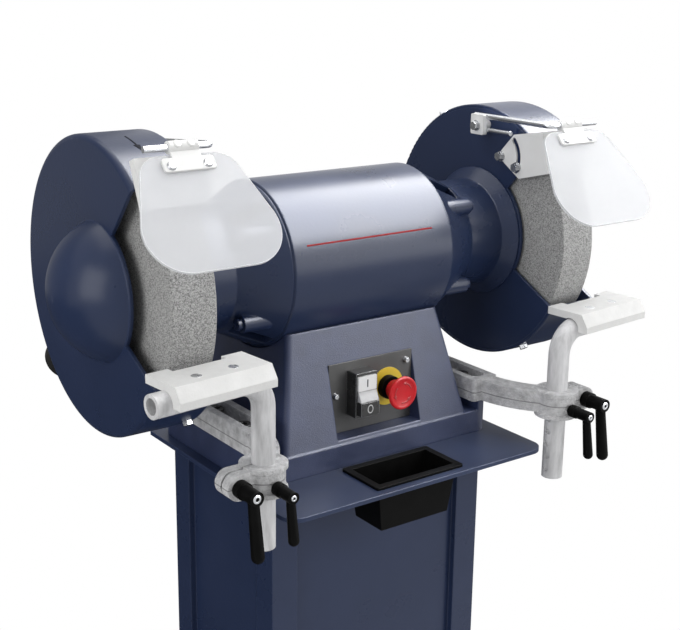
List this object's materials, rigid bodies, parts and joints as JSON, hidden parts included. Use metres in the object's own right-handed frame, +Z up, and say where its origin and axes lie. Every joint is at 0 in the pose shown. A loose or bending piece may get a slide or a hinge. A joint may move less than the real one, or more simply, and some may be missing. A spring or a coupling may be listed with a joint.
{
  "type": "pedestal bench grinder",
  "caption": "Twin-wheel bench grinder on a floor pedestal, with wheel guards, eye shields, spark deflectors, adjustable work rests, a switch panel with an emergency stop and a water pot.",
  "frame": {"origin": "on the floor at the middle of the anchor holes, straight below the middle of the spindle", "axes": "+X along the spindle towards the right-hand wheel, -Y towards the user, +Z up"},
  "size_m": [0.718, 0.4277, 1.1905],
  "materials": {
    "navy_paint": "gloss",
    "cast_navy": "textured gloss",
    "tray_navy": "gloss",
    "bolt_steel": "satin",
    "black_plastic": "matte",
    "panel_dark": "matte",
    "switch_white": "gloss",
    "estop_red": "gloss",
    "ring_yellow": "satin",
    "core_steel": "laminated",
    "copper": "wound wire",
    "ground_steel": "ground",
    "abrasive": "grainy",
    "cap_rubber": "matte",
    "white_sheet": "satin",
    "bright_rod": "bright",
    "clear_pane": "clear",
    "cast_grey": "cast",
    "tube_grey": "satin",
    "table_grey": "milled",
    "dark_bolt": "black oxide"
  },
  "bodies": {
    "stand": {"stand_base_plate": "navy_paint", "stand_column": "navy_paint", "tray_plate": "tray_navy", "stand_bolts": "bolt_steel", "base_casting": "cast_navy", "switch_plate": "panel_dark", "switch_plate_screws": "bolt_steel", "switch_housing": "black_plastic", "estop_collar": "black_plastic", "estop_ring": "ring_yellow", "motor_housing": "navy_paint", "stator_core": "core_steel", "stator_windings": "copper", "bearings": "ground_steel", "end_bell_bolts": "navy_paint", "guard_screws": "bolt_steel", "dust_caps": "cap_rubber", "guard_side_screws": "bolt_steel", "arm_bolts": "dark_bolt", "cable_gland": "black_plastic", "left_end_bell": "navy_paint", "left_guard_plate": "navy_paint", "left_guard_shell": "navy_paint", "right_end_bell": "navy_paint", "right_guard_plate": "navy_paint", "right_guard_shell": "navy_paint"},
    "spindle": {"spindle_shaft": "ground_steel", "rotor_core": "core_steel", "left_wheel": "abrasive", "right_wheel": "abrasive", "wheel_flanges": "ground_steel", "spindle_nuts": "bolt_steel"},
    "start_push": {"start_button": "switch_white"},
    "stop_push": {"stop_button": "black_plastic"},
    "estop_push": {"estop_head": "estop_red"},
    "pot": {"water_pot": "black_plastic"},
    "left_arm": {"left_rest_arm": "cast_grey"},
    "left_post": {"left_rest_post": "tube_grey", "left_rest_table": "table_grey", "left_table_screws": "bolt_steel"},
    "left_clamp": {"left_clamp_lever": "black_plastic"},
    "left_lock": {"left_lock_lever": "black_plastic"},
    "left_deflector": {"left_spark_deflector": "white_sheet"},
    "left_shield_arm": {"left_shield_block": "white_sheet", "left_shield_rods": "bright_rod"},
    "left_shield": {"left_shield_bracket": "white_sheet", "left_eye_shield": "clear_pane", "left_shield_screws": "bolt_steel"},
    "right_arm": {"right_rest_arm": "cast_grey"},
    "right_post": {"right_rest_post": "tube_grey", "right_rest_table": "table_grey", "right_table_screws": "bolt_steel"},
    "right_clamp": {"right_clamp_lever": "black_plastic"},
    "right_lock": {"right_lock_lever": "black_plastic"},
    "right_deflector": {"right_spark_deflector": "white_sheet"},
    "right_shield_arm": {"right_shield_block": "white_sheet", "right_shield_rods": "bright_rod"},
    "right_shield": {"right_shield_bracket": "white_sheet", "right_eye_shield": "clear_pane", "right_shield_screws": "bolt_steel"}
  },
  "joints": [
    {"name": "spindle_spin", "type": "hinge", "parent": "stand", "child": "spindle", "pos_m": [0, 0, 1.025], "axis": [1, 0, 0], "continuous": true},
    {"name": "left_arm_slide", "type": "slide", "parent": "stand", "child": "left_arm", "axis": [0, 1, 0], "range_m": [-0.018, 0.006]},
    {"name": "left_post_lift", "type": "slide", "parent": "left_arm", "child": "left_post", "axis": [0, 0, 1], "range_m": [-0.012, 0.04]},
    {"name": "left_clamp_turn", "type": "hinge", "parent": "left_arm", "child": "left_clamp", "pos_m": [-0.242, -0.192, 0.851], "axis": [0, 1, 0], "range_deg": [0, 90]},
    {"name": "left_lock_turn", "type": "hinge", "parent": "left_arm", "child": "left_lock", "pos_m": [-0.206, -0.2045, 0.847], "axis": [0, 1, 0], "range_deg": [-60, 0]},
    {"name": "left_deflector_pivot", "type": "hinge", "parent": "stand", "child": "left_deflector", "pos_m": [-0.233, -0.045, 1.12702], "axis": [1, 0, 0], "range_deg": [0, 12]},
    {"name": "left_shield_arm_turn", "type": "hinge", "parent": "stand", "child": "left_shield_arm", "pos_m": [-0.233, -0.015, 1.163], "axis": [1, 0, 0], "range_deg": [-26, 1]},
    {"name": "left_shield_tilt", "type": "hinge", "parent": "left_shield_arm", "child": "left_shield", "pos_m": [-0.256, -0.11244, 1.18394], "axis": [1, 0, 0], "range_deg": [-60, 6]},
    {"name": "right_arm_slide", "type": "slide", "parent": "stand", "child": "right_arm", "axis": [0, 1, 0], "range_m": [-0.017, 0.001]},
    {"name": "right_post_lift", "type": "slide", "parent": "right_arm", "child": "right_post", "axis": [0, 0, 1], "range_m": [-0.036, 0.03]},
    {"name": "right_clamp_turn", "type": "hinge", "parent": "right_arm", "child": "right_clamp", "pos_m": [0.242, -0.199, 0.851], "axis": [0, 1, 0], "range_deg": [-90, 0]},
    {"name": "right_lock_turn", "type": "hinge", "parent": "right_arm", "child": "right_lock", "pos_m": [0.206, -0.2115, 0.847], "axis": [0, 1, 0], "range_deg": [0, 60]},
    {"name": "right_deflector_pivot", "type": "hinge", "parent": "stand", "child": "right_deflector", "pos_m": [0.233, -0.045, 1.12702], "axis": [1, 0, 0], "range_deg": [-9, 3]},
    {"name": "right_shield_arm_turn", "type": "hinge", "parent": "stand", "child": "right_shield_arm", "pos_m": [0.233, -0.015, 1.163], "axis": [1, 0, 0], "range_deg": [-30, 5]},
    {"name": "right_shield_tilt", "type": "hinge", "parent": "right_shield_arm", "child": "right_shield", "pos_m": [0.254, -0.134, 1.1745], "axis": [1, 0, 0], "range_deg": [-60, 6]},
    {"name": "start_press", "type": "slide", "parent": "stand", "child": "start_push", "axis": [0, 1, 0], "range_m": [0, 0.003], "stiffness_N_per_m": 300},
    {"name": "stop_press", "type": "slide", "parent": "stand", "child": "stop_push", "axis": [0, 1, 0], "range_m": [0, 0.003], "stiffness_N_per_m": 300},
    {"name": "estop_press", "type": "slide", "parent": "stand", "child": "estop_push", "axis": [0, 1, 0], "range_m": [0, 0.0035], "stiffness_N_per_m": 500},
    {"name": "pot_lift", "type": "slide", "parent": "stand", "child": "pot", "axis": [0, 0, 1], "range_m": [0, 0.04]}
  ]
}
